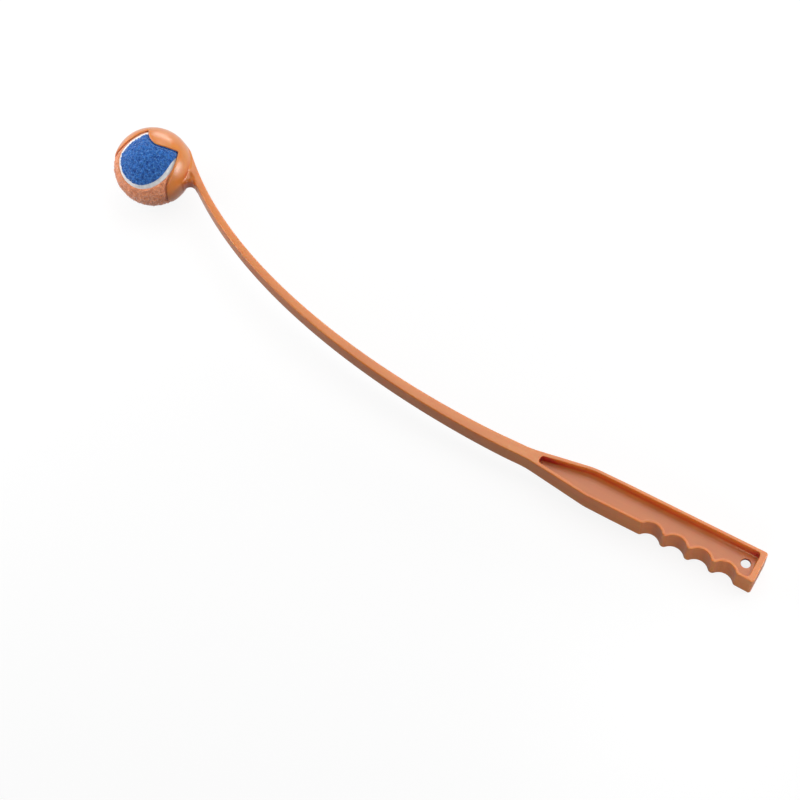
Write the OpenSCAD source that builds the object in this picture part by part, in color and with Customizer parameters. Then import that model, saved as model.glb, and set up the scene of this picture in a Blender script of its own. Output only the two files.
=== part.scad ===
// Dog ball launcher: a moulded throwing stick that grips a felt ball in a sprung cup.
// The launcher lies on its side. The origin is the middle of the hang hole, +X runs along
// the straight back of the handle to its butt end, +Y points out of that back, and Z is
// the axis of the hang hole. The launcher is symmetric about the plane Z = 0.

/* [Handle] */
// Thickness of the handle from rim to rim
handle_t = 22; // [18:0.5:28]
// Hang hole to the straight back
handle_back = 12; // [10:0.5:16]
// Hang hole to the finger side at the first groove
grip_front = 13.5; // [12:0.5:18]
// Outward slant of the grooved finger side, in degrees
grip_flare = 1.6; // [0:0.1:3]
// Hang hole to the butt end
butt_gap = 12.5; // [11:0.5:18]
// Radius of the two butt corners
butt_r = 2; // [0.5:0.1:3]
// Hang hole to the shoulder on the back
shoulder_back = 138; // [120:1:155]
// Hang hole to the shoulder on the finger side
shoulder_front = 134; // [118:1:150]
// Radius that softens both shoulders
shoulder_r = 60; // [20:5:100]
// Hang hole to the start of the thickness taper
taper_x = 110; // [90:1:140]

/* [Finger grooves] */
// Number of finger grooves
groove_count = 4; // [3:1:4]
// Groove spacing
groove_pitch = 21.4; // [18:0.2:22.6]
// Groove depth below the crests
groove_depth = 5; // [3:0.25:6]
// Hang hole to the crest before the first groove
groove_start = 86; // [82:1:95]
// Radius of the rounded crests
crest_r = 3.5; // [2:0.25:5]

/* [Recess and hang hole] */
// Rim along the back
rim_back = 2.8; // [2:0.1:4]
// Rim along the finger side
rim_front = 2.2; // [1.6:0.1:3.5]
// Rim at the butt end
rim_butt = 5; // [3:0.25:6.5]
// Web between the two recesses
web_t = 3; // [2:0.25:5]
// Hang hole to the pointed end of the recess
recess_tip = 180; // [165:1:185]
// Width of the recess at its pointed end
recess_tip_w = 6; // [5.75:0.25:8]
// Corner radius of the recess
recess_r = 2.8; // [1:0.1:2.9]
// Diameter of the hang hole
hang_hole_d = 8; // [5:0.5:9]

/* [Neck] */
// Hang hole to the neck, where the handle has narrowed to the arm's width
neck_x = 190; // [186:1:220]
// Sideways offset of the neck from the hang hole, towards the back
neck_y = -1.8; // [-3:0.1:2]
// Length of the neck as far as the arm's root
neck_len = 16; // [14:1:30]
// Radius that eases the handle's sides into the neck
neck_r = 90; // [20:5:95]

/* [Throwing arm] */
// In-plane width of the arm at its root
arm_w_root = 9.9; // [8:0.1:12]
// In-plane width of the arm at the cup
arm_w_tip = 5.9; // [5.5:0.1:8]
// Thickness of the arm at its root
arm_t_root = 17.4; // [14:0.2:18]
// Thickness of the arm at the cup
arm_t_tip = 12.4; // [9:0.2:14]
// Extra thickness where the arm spreads into the cup
arm_spread = 4; // [0:0.5:6]
// Edge radius of the arm at its root
edge_r_root = 1.2; // [0.6:0.1:2.5]
// Edge radius of the arm at the cup
edge_r_tip = 2.4; // [1:0.1:2.7]
// Dip of the arm's curve at its root, in degrees
root_dip = 1.4; // [0:0.2:10]
// Reach of the curve's straight lead out of the handle
root_lead = 54; // [20:1:90]
// Climb of the arm's curve at the cup, in degrees
tip_climb = 43.4; // [38:0.2:50]
// Reach of the curve's straight lead into the cup
tip_lead = 154; // [100:1:180]

/* [Ball cup] */
// Hang hole to the cup's centre, along the handle
cup_x = 598.5; // [480:0.5:700]
// Hang hole to the cup's centre, across the handle
cup_y = 86; // [60:0.5:110]
// Wall of the cup
cup_wall = 1.4; // [1.4:0.1:3]
// Clearance between the ball and the cup
cup_clear = 0.3; // [0.2:0.05:1]
// Direction of the mouth, in degrees from the handle's line
mouth_dir = -95.5; // [-110:0.5:-80]
// Where the arm meets the cup, in degrees from the handle's line
arm_meet = 47; // [35:0.2:50]
// Height of the arm's back above the cup where they meet
arm_proud = 0.3; // [0.2:0.1:1.2]
// Radius of the arch between the arm and the rear claw
arch_r = 6.5; // [4:0.25:9]
// Mouth axis to the end of the front tongue, in degrees
tongue_end = 66; // [55:1:75]
// Mouth axis to the end of the rear claw, in degrees
claw_end = 60; // [50:1:75]
// Mouth axis to the end of each side lobe, in degrees
side_end = 97; // [88:1:104]
// Mouth axis to the root of each front notch, in degrees
notch_front = 117; // [108:1:124]
// Mouth axis to the root of each rear notch, in degrees
notch_rear = 114; // [106:1:116]
// Rounding at the roots of the notches, as a share of each lobe's edge
notch_round = 0.06; // [0.02:0.01:0.12]

/* [Ball] */
// Diameter of the ball over its felt
ball_d = 64; // [60:0.5:68]
// Thickness of the felt
felt_t = 3; // [2:0.1:4]
// Wall of the hollow rubber core
core_wall = 3.5; // [2.5:0.1:5]
// Cement film between the felt and the core
cement_t = 0.1; // [0.05:0.05:0.3]
// Width of the seam between the felt panels
seam_w = 4.2; // [2:0.1:5]
// Depth of the seam below the felt
seam_drop = 0.6; // [0.2:0.1:1.5]
// Swing of the seam's curve, as a share of the ball's radius
seam_swing = 0.22; // [0.1:0.01:0.23]

/* [Hidden] */
$fn = 96;

// Slack that carries a cutting shape past the face it cuts
over = 1;
corner_steps = 6;

// Finger grooves: circles of groove_r in a row, with crest circles tangent between them
groove_sum = (pow(groove_pitch / 2, 2) / groove_depth + groove_depth) / 2;
groove_r = groove_sum - crest_r;
groove_out = groove_r - groove_depth;
crest_tangent = crest_r - (groove_sum - groove_depth) * crest_r / groove_sum;
groove_len = groove_count * groove_pitch;
butt_front = -grip_front - (groove_start + butt_gap) * tan(grip_flare);

// Arm
// Station along the arm's curve where the cup's own root takes over
arm_split = 0.9;
arm_rings = 40;
root_rings = 8;
edge_steps = 4;
// Turn over which the arm sinks into the cup, and the depth it sinks to
root_turn = 20;
root_sink = 1.6;

// Cup
ball_r = ball_d / 2;
cup_in = ball_r + cup_clear;
cup_out = cup_in + cup_wall;
cup_mid = [-cup_x, cup_y];
arm_end = cup_mid + (cup_out + arm_proud - arm_w_tip / 2) * [cos(arm_meet), sin(arm_meet)];
// Positions round the mouth, in degrees from the tongue
notch_front_az = 64;
side_az = 97;
notch_rear_az = 130.5;
// Shape exponents of the lobes: higher is blunter
tongue_power = 3.9;
side_front_power = 2;
side_rear_power = 1.1;
claw_power = 3.4;
lobe_steps = 14;
// Reach of a cutting cone beyond the ball's surface, as a multiple of the radius
cone_reach = 1.45;

// Ball
core_r = ball_r - felt_t;
felt_in = core_r + cement_t;
// Turn of the ball in the cup
ball_turn = [-32, -75.6, -72.2];
seam_steps = 72;

plastic = [0.86, 0.41, 0.13];
rubber = [0.22, 0.22, 0.23];
felt_blue = [0.11, 0.33, 0.64];
felt_orange = [0.94, 0.58, 0.33];
cement = [0.93, 0.93, 0.9];

function unit(v) = v / norm(v);

// Points of the corner b between a and c, rounded to radius r
function corner(a, b, c, r) =
    let (u = unit(a - b), v = unit(c - b), half = acos(u * v) / 2)
    let (mid = b + unit(u + v) * r / sin(half), start = b + u * r / tan(half) - mid)
    let (finish = b + v * r / tan(half) - mid, first = atan2(start.y, start.x))
    let (sweep = (atan2(finish.y, finish.x) - first + 540) % 360 - 180)
    [for (i = [0 : corner_steps]) let (t = first + sweep * i / corner_steps) mid + r * [cos(t), sin(t)]];

// Outline with each corner rounded to its own radius; a radius of 0 leaves it sharp
function rounded(pts, radii) =
    let (n = len(pts))
    [for (i = [0 : n - 1])
        each radii[i] > 0 ? corner(pts[(i + n - 1) % n], pts[i], pts[(i + 1) % n], radii[i]) : [pts[i]]];

// Point of the grooved finger side: along is measured from the first crest, depth inwards
function grip_pt(along, depth) =
    [-groove_start + along * cos(grip_flare) + depth * sin(grip_flare),
     -grip_front - along * sin(grip_flare) + depth * cos(grip_flare)];

// The neck runs straight into the arm's curve, and its end face is square to it
neck_mid = [-neck_x, neck_y];
neck_half = arm_w_root / 2 * [-sin(root_dip), cos(root_dip)];
arm_start = neck_mid - neck_len * [cos(root_dip), sin(root_dip)];

// Outline of the handle seen along Z, before its grooves are cut
function handle_outline() = rounded(
    [[butt_gap, handle_back],
     [-shoulder_back, handle_back],
     neck_mid + neck_half,
     arm_start + neck_half,
     arm_start - neck_half,
     neck_mid - neck_half,
     [-shoulder_front, -grip_front],
     grip_pt(0, 0),
     grip_pt(0, crest_tangent),
     grip_pt(groove_len, crest_tangent),
     grip_pt(groove_len, 0),
     [butt_gap, butt_front]],
    [butt_r, shoulder_r, neck_r, 0, 0, neck_r, shoulder_r, 0, 0, 0, 0, butt_r]);

// Outline of the recess, before the rim round the grooves is left standing
function recess_outline() = rounded(
    [[butt_gap - rim_butt, handle_back - rim_back],
     [-shoulder_back, handle_back - rim_back],
     [-recess_tip, neck_y + recess_tip_w / 2],
     [-recess_tip, neck_y - recess_tip_w / 2],
     [-shoulder_front, -grip_front + rim_front],
     grip_pt(0, rim_front),
     [butt_gap - rim_butt, butt_front + rim_front]],
    [recess_r, shoulder_r, recess_r, recess_r, shoulder_r, 0, recess_r]);

module groove_circles(r) {
    for (i = [0 : groove_count - 1])
        translate(grip_pt((i + 0.5) * groove_pitch, -groove_out)) circle(r);
}

module crest_circles() {
    for (i = [0 : groove_count])
        translate(grip_pt(i * groove_pitch, crest_r)) circle(crest_r);
}

// Side view of the handle's thickness, drawn in X and Z and extruded along Y
module thickness_taper() {
    deep = 2 * (handle_back + grip_front);
    rotate([90, 0, 0])
        linear_extrude(2 * deep, center = true)
            polygon([[butt_gap + over, handle_t / 2],
                     [-taper_x, handle_t / 2],
                     [-neck_x, arm_t_root / 2],
                     [-neck_x - neck_len - arm_w_root, arm_t_root / 2],
                     [-neck_x - neck_len - arm_w_root, -arm_t_root / 2],
                     [-neck_x, -arm_t_root / 2],
                     [-taper_x, -handle_t / 2],
                     [butt_gap + over, -handle_t / 2]]);
}

module recess() {
    translate([0, 0, web_t / 2])
        linear_extrude(handle_t / 2)
            difference() {
                polygon(recess_outline());
                groove_circles(groove_r + rim_front);
            }
}

module handle() {
    color(plastic)
        difference() {
            intersection() {
                linear_extrude(handle_t, center = true) {
                    difference() {
                        polygon(handle_outline());
                        groove_circles(groove_r);
                    }
                    crest_circles();
                }
                thickness_taper();
            }
            recess();
            mirror([0, 0, 1]) recess();
            cylinder(d = hang_hole_d, h = handle_t, center = true);
        }
}

// The arm's curve: a cubic from the handle's neck to the back of the cup
arm_lead_out = arm_start - root_lead * [cos(root_dip), sin(root_dip)];
arm_lead_in = arm_end + tip_lead * [cos(tip_climb), -sin(tip_climb)];

function arm_pt(u) =
    pow(1 - u, 3) * arm_start + 3 * pow(1 - u, 2) * u * arm_lead_out
    + 3 * (1 - u) * u * u * arm_lead_in + pow(u, 3) * arm_end;

function arm_dir(u) = unit(
    pow(1 - u, 2) * (arm_lead_out - arm_start) + 2 * (1 - u) * u * (arm_lead_in - arm_lead_out)
    + u * u * (arm_end - arm_lead_in));

function left_of(d) = [-d.y, d.x];

function arm_w(u) = arm_w_root + (arm_w_tip - arm_w_root) * u;

function arm_t(u) =
    arm_t_root + (arm_t_tip - arm_t_root) * u
    + arm_spread * pow(max(0, u - arm_split) / (1 - arm_split), 2);

function arm_edge(u) = edge_r_root + (edge_r_tip - edge_r_root) * u;

// Rounded-rectangle section across the direction d, with its middle at p
function section(p, d, width, thick, r) =
    let (side = left_of(d), w = width / 2 - r, t = thick / 2 - r)
    [for (k = [0 : 3], i = [0 : edge_steps])
        let (turn = 90 * k + 90 * i / edge_steps)
        let (s = (k == 0 || k == 3 ? w : -w) + r * cos(turn))
        let (z = (k < 2 ? t : -t) + r * sin(turn))
        [p.x + side.x * s, p.y + side.y * s, z]];

// Section of the arm at station u
function arm_ring(u) = section(arm_pt(u), arm_dir(u), arm_w(u), arm_t(u), arm_edge(u));

// Section of the arm as it turns round the cup, the share f of the way to its sunken end
function root_ring(f) =
    let (a = arm_meet + root_turn * f, r = norm(arm_end - cup_mid) - (arm_proud + root_sink) * f)
    section(cup_mid + r * [cos(a), sin(a)], [-sin(a), cos(a)], arm_w_tip, arm_t(1), edge_r_tip);

// Solid through a row of rings with equal numbers of points
module loft(rings) {
    m = len(rings[0]);
    last = len(rings) - 1;
    sides = [for (i = [0 : last - 1], j = [0 : m - 1])
        let (k = (j + 1) % m, a = i * m, b = a + m)
        each [[a + j, b + j, b + k], [a + j, b + k, a + k]]];
    near = [for (j = [0 : m - 1]) j];
    far = [for (j = [m - 1 : -1 : 0]) last * m + j];
    polyhedron([for (ring = rings) each ring], concat(sides, [near, far]));
}

module throwing_arm() {
    color(plastic)
        loft([for (i = [0 : arm_rings]) arm_ring(arm_split * i / arm_rings)]);
}

// Cone of rays from the origin through the directions in rim, closed beyond reach.
// The rim runs anticlockwise seen from the end of the direction top.
module ray_cone(top, rim, reach) {
    n = len(rim);
    middle = [for (d = rim) unit(d + top)];
    polyhedron(
        concat([[0, 0, 0], top * reach], [for (d = rim) d * reach], [for (d = middle) d * reach]),
        [for (i = [0 : n - 1])
            let (j = (i + 1) % n, a = 2 + i, b = 2 + j)
            each [[0, a, b], [a + n, b + n, b], [a + n, b, a], [1, b + n, a + n]]]);
}

mouth_axis = [cos(mouth_dir), sin(mouth_dir), 0];
tongue_axis = [sin(mouth_dir), -cos(mouth_dir), 0];

// Direction from the cup's centre, polar degrees off the mouth's axis, az degrees from the tongue
function mouth_ray(polar, az) =
    cos(polar) * mouth_axis + sin(polar) * (cos(az) * tongue_axis - sin(az) * [0, 0, 1]);

// Edge of one lobe from its end at az_end towards the notch beside it, as [polar, az] pairs
function lobe_edge(lobe_end, az_end, notch, az_notch, power) =
    [for (i = [0 : lobe_steps])
        let (s = (1 - notch_round) * sin(90 * i / lobe_steps))
        [lobe_end + (notch - lobe_end) * pow(s, power), az_end + (az_notch - az_end) * s]];

function backwards(list) = [for (i = [len(list) - 1 : -1 : 0]) list[i]];
function without_first(list) = [for (i = [1 : len(list) - 1]) list[i]];

// Two lobe edges joined by a rounded root at the notch between them
function notched(edge, root, next) =
    let (a = edge[len(edge) - 1], b = next[0])
    concat(
        edge,
        [for (t = [0.2 : 0.2 : 0.8]) pow(1 - t, 2) * a + 2 * t * (1 - t) * root + t * t * b],
        next);

// Half of the mouth's edge, from the tongue's end round to the rear claw's end
half_edge = concat(
    notched(
        lobe_edge(tongue_end, 0, notch_front, notch_front_az, tongue_power),
        [notch_front, notch_front_az],
        backwards(lobe_edge(side_end, side_az, notch_front, notch_front_az, side_front_power))),
    without_first(notched(
        lobe_edge(side_end, side_az, notch_rear, notch_rear_az, side_rear_power),
        [notch_rear, notch_rear_az],
        backwards(lobe_edge(claw_end, 180, notch_rear, notch_rear_az, claw_power)))));

mouth_rim = concat(
    [for (e = half_edge) mouth_ray(e[0], e[1])],
    [for (i = [len(half_edge) - 2 : -1 : 1]) mouth_ray(half_edge[i][0], -half_edge[i][1])]);

// Fillet in the corner between the arm's lower edge and the outside of the cup
module arch() {
    u = (1 + 2 * arm_split) / 3;
    d = arm_dir(u);
    side = left_of(d);
    edge = arm_pt(u) + side * arm_w(u) / 2;
    from = edge + side * arch_r - cup_mid;
    along = -from * d - sqrt(pow(from * d, 2) - from * from + pow(cup_out + arch_r, 2));
    mid = cup_mid + from + along * d;
    to_cup = unit(cup_mid - mid);
    linear_extrude(arm_t(u) - edge_r_tip, center = true)
        difference() {
            polygon([mid, mid - side * (arch_r + arm_w_tip / 2), arm_end, mid + to_cup * (arch_r + cup_wall)]);
            translate(mid) circle(arch_r);
        }
}

module ball_cup() {
    color(plastic)
        difference() {
            union() {
                translate(cup_mid) sphere(cup_out);
                loft(concat(
                    [for (i = [0 : root_rings]) arm_ring(arm_split + (1 - arm_split) * i / root_rings)],
                    [for (i = [1 : root_rings]) root_ring(i / root_rings)]));
                arch();
            }
            translate(cup_mid) {
                sphere(cup_in);
                ray_cone(mouth_axis, mouth_rim, cup_out * cone_reach);
            }
        }
}

// Moves a ball drawn round the origin into the cup
module in_cup() {
    translate(cup_mid) rotate(ball_turn) children();
}

// Half-shell of the core above the plane Z = 0
module core_half() {
    color(rubber)
        rotate_extrude()
            intersection() {
                difference() {
                    circle(core_r);
                    circle(core_r - core_wall);
                }
                square(core_r);
            }
}

module ball_core_front() {
    in_cup() core_half();
}

module ball_core_rear() {
    in_cup() mirror([0, 0, 1]) core_half();
}

// Point of the seam's middle line on the unit ball, and its direction of travel
function seam_pt(t) =
    let (a = 1 - seam_swing, b = seam_swing, s = t - 45)
    let (x = a * cos(s) + b * cos(3 * s), y = a * sin(s) - b * sin(3 * s))
    [(x - y) / sqrt(2), (x + y) / sqrt(2), 2 * sqrt(a * b) * sin(2 * s)];

function seam_dir(t) =
    let (a = 1 - seam_swing, b = seam_swing, s = t - 45)
    let (x = -a * sin(s) - 3 * b * sin(3 * s), y = a * cos(s) - 3 * b * cos(3 * s))
    unit([(x - y) / sqrt(2), (x + y) / sqrt(2), 4 * sqrt(a * b) * cos(2 * s)]);

// Edge of the felt panel that covers the top of the ball, half a seam in from the middle line
panel_rim = [for (i = [0 : seam_steps - 1])
    let (t = 360 * i / seam_steps, p = seam_pt(t), inset = 90 * seam_w / (PI * ball_r))
    cos(inset) * p + sin(inset) * cross(p, seam_dir(t))];

module panel_cone() {
    ray_cone([0, 0, 1], panel_rim, ball_r * cone_reach);
}

module hollow_ball(outer, inner) {
    difference() {
        sphere(outer);
        sphere(inner);
    }
}

// Felt panel on top of the ball; the shell's poles are turned to the middles of its two lobes
module felt_panel() {
    intersection() {
        rotate([0, 90, 0]) hollow_ball(ball_r, felt_in);
        panel_cone();
    }
}

// The other panel is the same piece turned over
module turned_over() {
    rotate(180, [1, 1, 0]) children();
}

module felt_panel_blue() {
    color(felt_blue) in_cup() felt_panel();
}

module felt_panel_orange() {
    color(felt_orange) in_cup() turned_over() felt_panel();
}

module ball_seam() {
    color(cement)
        in_cup()
            difference() {
                hollow_ball(ball_r - seam_drop, felt_in);
                panel_cone();
                turned_over() panel_cone();
            }
}

handle();
throwing_arm();
ball_cup();
ball_core_front();
ball_core_rear();
felt_panel_blue();
felt_panel_orange();
ball_seam();
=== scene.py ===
import math

import bmesh
import bpy
import numpy as np
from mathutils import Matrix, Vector, noise
from mathutils.geometry import delaunay_2d_cdt


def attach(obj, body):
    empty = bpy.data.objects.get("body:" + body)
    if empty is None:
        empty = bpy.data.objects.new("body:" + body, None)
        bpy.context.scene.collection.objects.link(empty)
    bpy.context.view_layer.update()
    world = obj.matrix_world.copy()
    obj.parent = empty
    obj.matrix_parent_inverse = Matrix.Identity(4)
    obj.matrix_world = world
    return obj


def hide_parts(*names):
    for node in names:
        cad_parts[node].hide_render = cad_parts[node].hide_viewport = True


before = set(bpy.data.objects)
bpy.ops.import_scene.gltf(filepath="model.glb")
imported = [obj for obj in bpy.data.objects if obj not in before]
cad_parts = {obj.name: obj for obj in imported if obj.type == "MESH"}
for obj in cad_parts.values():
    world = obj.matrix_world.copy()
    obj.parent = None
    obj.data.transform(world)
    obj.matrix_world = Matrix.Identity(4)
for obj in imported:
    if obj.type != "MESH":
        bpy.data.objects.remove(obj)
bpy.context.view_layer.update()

# All lengths below are in mm and all angles in degrees, in the part's own frame.
MM = 0.001

# Handle
HANDLE_T = 22
HANDLE_BACK = 12
GRIP_FRONT = 13.5
GRIP_FLARE = 1.6
BUTT_GAP = 12.5
BUTT_R = 2
SHOULDER_BACK = 138
SHOULDER_FRONT = 134
SHOULDER_R = 60
TAPER_X = 110
GROOVES = 4
GROOVE_PITCH = 21.4
GROOVE_DEPTH = 5
GROOVE_START = 86
CREST_R = 3.5
RIM_BACK = 2.8
RIM_FRONT = 2.2
RIM_BUTT = 5
WEB_T = 3
RECESS_TIP = 180
RECESS_TIP_W = 6
RECESS_R = 2.8
HOLE_R = 4
HOLE_EDGE_R = 0.4
HOLE_SIDES = 64
EDGE_R = 0.85
RIM_EDGE_R = 0.5
# Flat margins that the fills of the faces start from
EDGE_FLAT, RIM_FLAT, FLOOR_FLAT, HOLE_FLAT = 0.05, 0.1, 0.15, 0.2
# Fillet of the recess's floor along the grooves, what it gains along the back,
# and the share of that gain lost at the ends
FLOOR_R, FLOOR_R_BACK, FLOOR_R_LOSS = 0.85, 2.65, 0.55
RECESS_DRAFT = 0.1
PARTING_W, PARTING_H = 0.2, 0.08
# Longest straight step along an outline
PATH_STEP = 2.5

# Neck
NECK = np.array([-190, -1.8])
NECK_LEN = 16
NECK_R = 90

# Throwing arm
ARM_W = (9.9, 5.9)
ARM_T = (17.4, 12.4)
ARM_EDGE = (EDGE_R, 1.5)
ARM_SPREAD = 4
ARM_SPLIT = 0.9
# The arm and the cup's root overlap by this share of the curve, so that no seam shows
ARM_LAP = 0.016
ROOT_DIP, ROOT_LEAD = 1.4, 54
TIP_CLIMB, TIP_LEAD = 43.4, 154

# Cup
CUP = np.array([-598.5, 86])
CUP_IN, CUP_OUT = 32.3, 33.7
ARM_MEET = 47
ARM_PROUD = 0.3
ROOT_START, ROOT_TURN, ROOT_SINK = 0.86, 20, 1.6
# The root grows from inside the arm to outside it by this much over their overlap
ROOT_SWELL = 0.07
# Widths of the blends between the dome and the arm's root: everywhere, and what its inner side adds
BLEND_TIGHT, BLEND_WIDE = 1.2, 11
# Share of the wide blend that the arm's flanks lose
FLANK_LOSS = 0.68
# Web in the arch between arm and claw: its faces lie ARCH_STEP below the arm's
ARCH_R, ARCH_REACH, ARCH_STEP = 6.5, 10, 0.6
ARCH_EDGE, ARCH_BLEND = 3.0, 2.4
MOUTH_DIR = -95.5
# Lobes and the notches between them: degrees off the mouth's axis, degrees round it from the tongue
TONGUE_END, FRONT_NOTCH = (66, 0), (117, 64)
SIDE_END, REAR_NOTCH = (97, 97), (114, 130.5)
CLAW_END = (60, 180)
# Degrees over which the notches are eased, and the step of the table that holds the edge
NOTCH_EASE, EDGE_STEP = 1.3, 0.5
LIP_R, LIP_SQUARE = 0.7, 0.3
INNER_EDGE = 0.4
# Half of the box in which the cup is meshed
CUP_BOX = 36

# Ball
BALL_R = 32
SEAM_W = 4.2
SEAM_R = 31.4
SEAM_SWING = 0.22
SEAM_CROWN, SEAM_TUCK, SEAM_DEPTH = 0.2, 0.45, 1.2
# Where the hand-laid felt strays from an even seam: degrees along it, mm off it, degrees of reach
SEAM_STRAY = ((-66, 6.0, 25), (-28, -2.1, 11), (20, -0.6, 14), (58, 3.4, 14))
BALL_TURN = (-32, -75.6, -72.2)
# Felt: distance over which its edge rolls down to the seam, and how far it dips below the seam there
FELT_ROLL, FELT_DIP = 0.95, 0.25
# Height of its lumps under the cup, what free felt adds to it, and how far free felt stands proud
FELT_LUMPS, FELT_LUMPS_FREE, FELT_PROUD = 0.12, 1.3, 0.6
# Groove that the cup's lip presses: its depth, and its middle and reach in degrees clear of the lip
PRESSED_DEPTH, PRESSED_MID, PRESSED_REACH = 0.8, 1.2, 2
# Height on the unit ball above which a panel's points lie
PANEL_LOW = -0.97
FIBRE_W, FIBRE_ROOT = 0.07, 0.15
# Angle past which an edge of a mesh stays crisp
CREASE = 50


def unit(v):
    return v / np.linalg.norm(v)


def turn_matrix(angles):
    """Rotation about X, then Y, then Z."""
    a, b, c = np.radians(angles)
    rx = np.array([[1, 0, 0], [0, math.cos(a), -math.sin(a)], [0, math.sin(a), math.cos(a)]])
    ry = np.array([[math.cos(b), 0, math.sin(b)], [0, 1, 0], [-math.sin(b), 0, math.cos(b)]])
    rz = np.array([[math.cos(c), -math.sin(c), 0], [math.sin(c), math.cos(c), 0], [0, 0, 1]])
    return rz @ ry @ rx


def add_piece(name, verts, faces, body, node, material, normals=None):
    """Smooth-shaded mesh object, given in mm, that rides on body and stands for a CAD node."""
    mesh = bpy.data.meshes.new(name)
    mesh.from_pydata([tuple(v) for v in np.asarray(verts, float) * MM], [], [tuple(f) for f in faces])
    mesh.validate()
    mesh.polygons.foreach_set("use_smooth", [True] * len(mesh.polygons))
    if normals is not None:
        mesh.normals_split_custom_set_from_vertices([tuple(n) for n in normals])
    mesh.materials.append(material)
    obj = bpy.data.objects.new(name, mesh)
    bpy.context.scene.collection.objects.link(obj)
    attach(obj, body)
    if node:
        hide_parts(node)
    return obj


def tidy_mesh(obj, weld=0.0005):
    """Welds coincident points, turns every face outwards and keeps square edges crisp."""
    bm = bmesh.new()
    bm.from_mesh(obj.data)
    bmesh.ops.remove_doubles(bm, verts=bm.verts, dist=weld * MM)
    bmesh.ops.recalc_face_normals(bm, faces=bm.faces)
    bm.to_mesh(obj.data)
    bm.free()
    obj.data.set_sharp_from_angle(angle=math.radians(CREASE))


class Shell:
    """Points and faces of a mesh that is being put together."""

    def __init__(self):
        self.verts = []
        self.faces = []

    def add(self, points):
        start = len(self.verts)
        self.verts.extend([tuple(p) for p in points])
        return list(range(start, start + len(points)))

    def strip(self, rows, closed):
        """Quads between rows of points of equal length. Returns the rows' indices."""
        ids = [self.add(r) for r in rows]
        n = len(ids[0])
        for a, b in zip(ids[:-1], ids[1:]):
            for k in range(n if closed else n - 1):
                j = (k + 1) % n
                self.faces.append((a[k], a[j], b[j], b[k]))
        return ids

    def fill(self, loops):
        """Flat fill between an outer loop and the loops inside it, given as index lists."""
        ids = [i for loop in loops for i in loop]
        flat = [Vector(self.verts[i][:2]) for i in ids]
        edges, start = [], 0
        for loop in loops:
            n = len(loop)
            edges += [(start + k, start + (k + 1) % n) for k in range(n)]
            start += n
        out, _, tris, origin, _, _ = delaunay_2d_cdt(flat, edges, [], 1, 1e-6)
        rings = [np.array([self.verts[i][:2] for i in loop]) for loop in loops]
        for tri in tris:
            mid = np.mean([out[k] for k in tri], axis=0)
            if inside(rings[0], mid[None])[0] and not any(inside(r, mid[None])[0] for r in rings[1:]):
                self.faces.append(tuple(ids[origin[k][0]] for k in tri))


def inside(ring, points):
    """Which points lie inside a closed ring in the plane."""
    a, b = ring, np.roll(ring, -1, axis=0)
    x, y = points[:, 0:1], points[:, 1:2]
    rise = np.where(b[:, 1] == a[:, 1], 1e-12, b[:, 1] - a[:, 1])
    spans = (a[:, 1] > y) != (b[:, 1] > y)
    crosses = spans & (x < a[:, 0] + (y - a[:, 1]) * (b[:, 0] - a[:, 0]) / rise)
    return crosses.sum(axis=1) % 2 == 1


def ease(x, low, high):
    """0 below low, 1 above high, and a smooth step between."""
    t = np.clip((x - low) / (high - low), 0, 1)
    return t * t * (3 - 2 * t)


def corner(a, b, c, r, steps=10):
    """Points of the corner b between a and c, rounded to radius r."""
    a, b, c = (np.asarray(p, float) for p in (a, b, c))
    u, v = unit(a - b), unit(c - b)
    half = math.acos(float(u @ v)) / 2
    mid = b + unit(u + v) * r / math.sin(half)
    start, finish = b + u * r / math.tan(half) - mid, b + v * r / math.tan(half) - mid
    first = math.atan2(start[1], start[0])
    sweep = (math.atan2(finish[1], finish[0]) - first + 3 * math.pi) % (2 * math.pi) - math.pi
    t = first + sweep * np.linspace(0, 1, steps + 1)
    return mid + r * np.stack([np.cos(t), np.sin(t)], 1)


def densify(path, step, closed):
    """Path with extra points on its long straight runs."""
    ends = np.roll(path, -1, axis=0) if closed else path[1:]
    out = []
    for a, b in zip(path, ends):
        n = max(1, math.ceil(np.linalg.norm(b - a) / step))
        out += [a + (b - a) * k / n for k in range(n)]
    if not closed:
        out.append(path[-1])
    return np.array(out)


def drop_repeats(path):
    """Path without points that lie on the one before."""
    keep = [0] + [i for i in range(1, len(path)) if np.linalg.norm(path[i] - path[i - 1]) > 1e-4]
    return path[keep]


def left_normals(path, closed):
    """Unit normals to the left of a path."""
    if closed:
        ahead, behind = np.roll(path, -1, axis=0), np.roll(path, 1, axis=0)
    else:
        ahead, behind = np.vstack([path[1:], path[-1:]]), np.vstack([path[:1], path[:-1]])
    d1, d2 = ahead - path, path - behind
    d1 /= np.maximum(np.linalg.norm(d1, axis=1, keepdims=True), 1e-9)
    d2 /= np.maximum(np.linalg.norm(d2, axis=1, keepdims=True), 1e-9)
    d = d1 + d2
    d /= np.linalg.norm(d, axis=1, keepdims=True)
    return np.stack([-d[:, 1], d[:, 0]], 1)


def quarter(r, count=7):
    """Quarter circle of radius r, as the distances of its points from its two tangents."""
    return [(r * (1 - math.sin(t)), r * (1 - math.cos(t))) for t in np.radians(np.linspace(0, 90, count))]


# Handle

GROOVE_SUM = ((GROOVE_PITCH / 2) ** 2 / GROOVE_DEPTH + GROOVE_DEPTH) / 2
GROOVE_R = GROOVE_SUM - CREST_R
GROOVE_OUT = GROOVE_R - GROOVE_DEPTH
BUTT_FRONT = -GRIP_FRONT - (GROOVE_START + BUTT_GAP) * math.tan(math.radians(GRIP_FLARE))
ROOT_WAY = np.array([math.cos(math.radians(ROOT_DIP)), math.sin(math.radians(ROOT_DIP))])
ARM_START = NECK - NECK_LEN * ROOT_WAY


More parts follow.
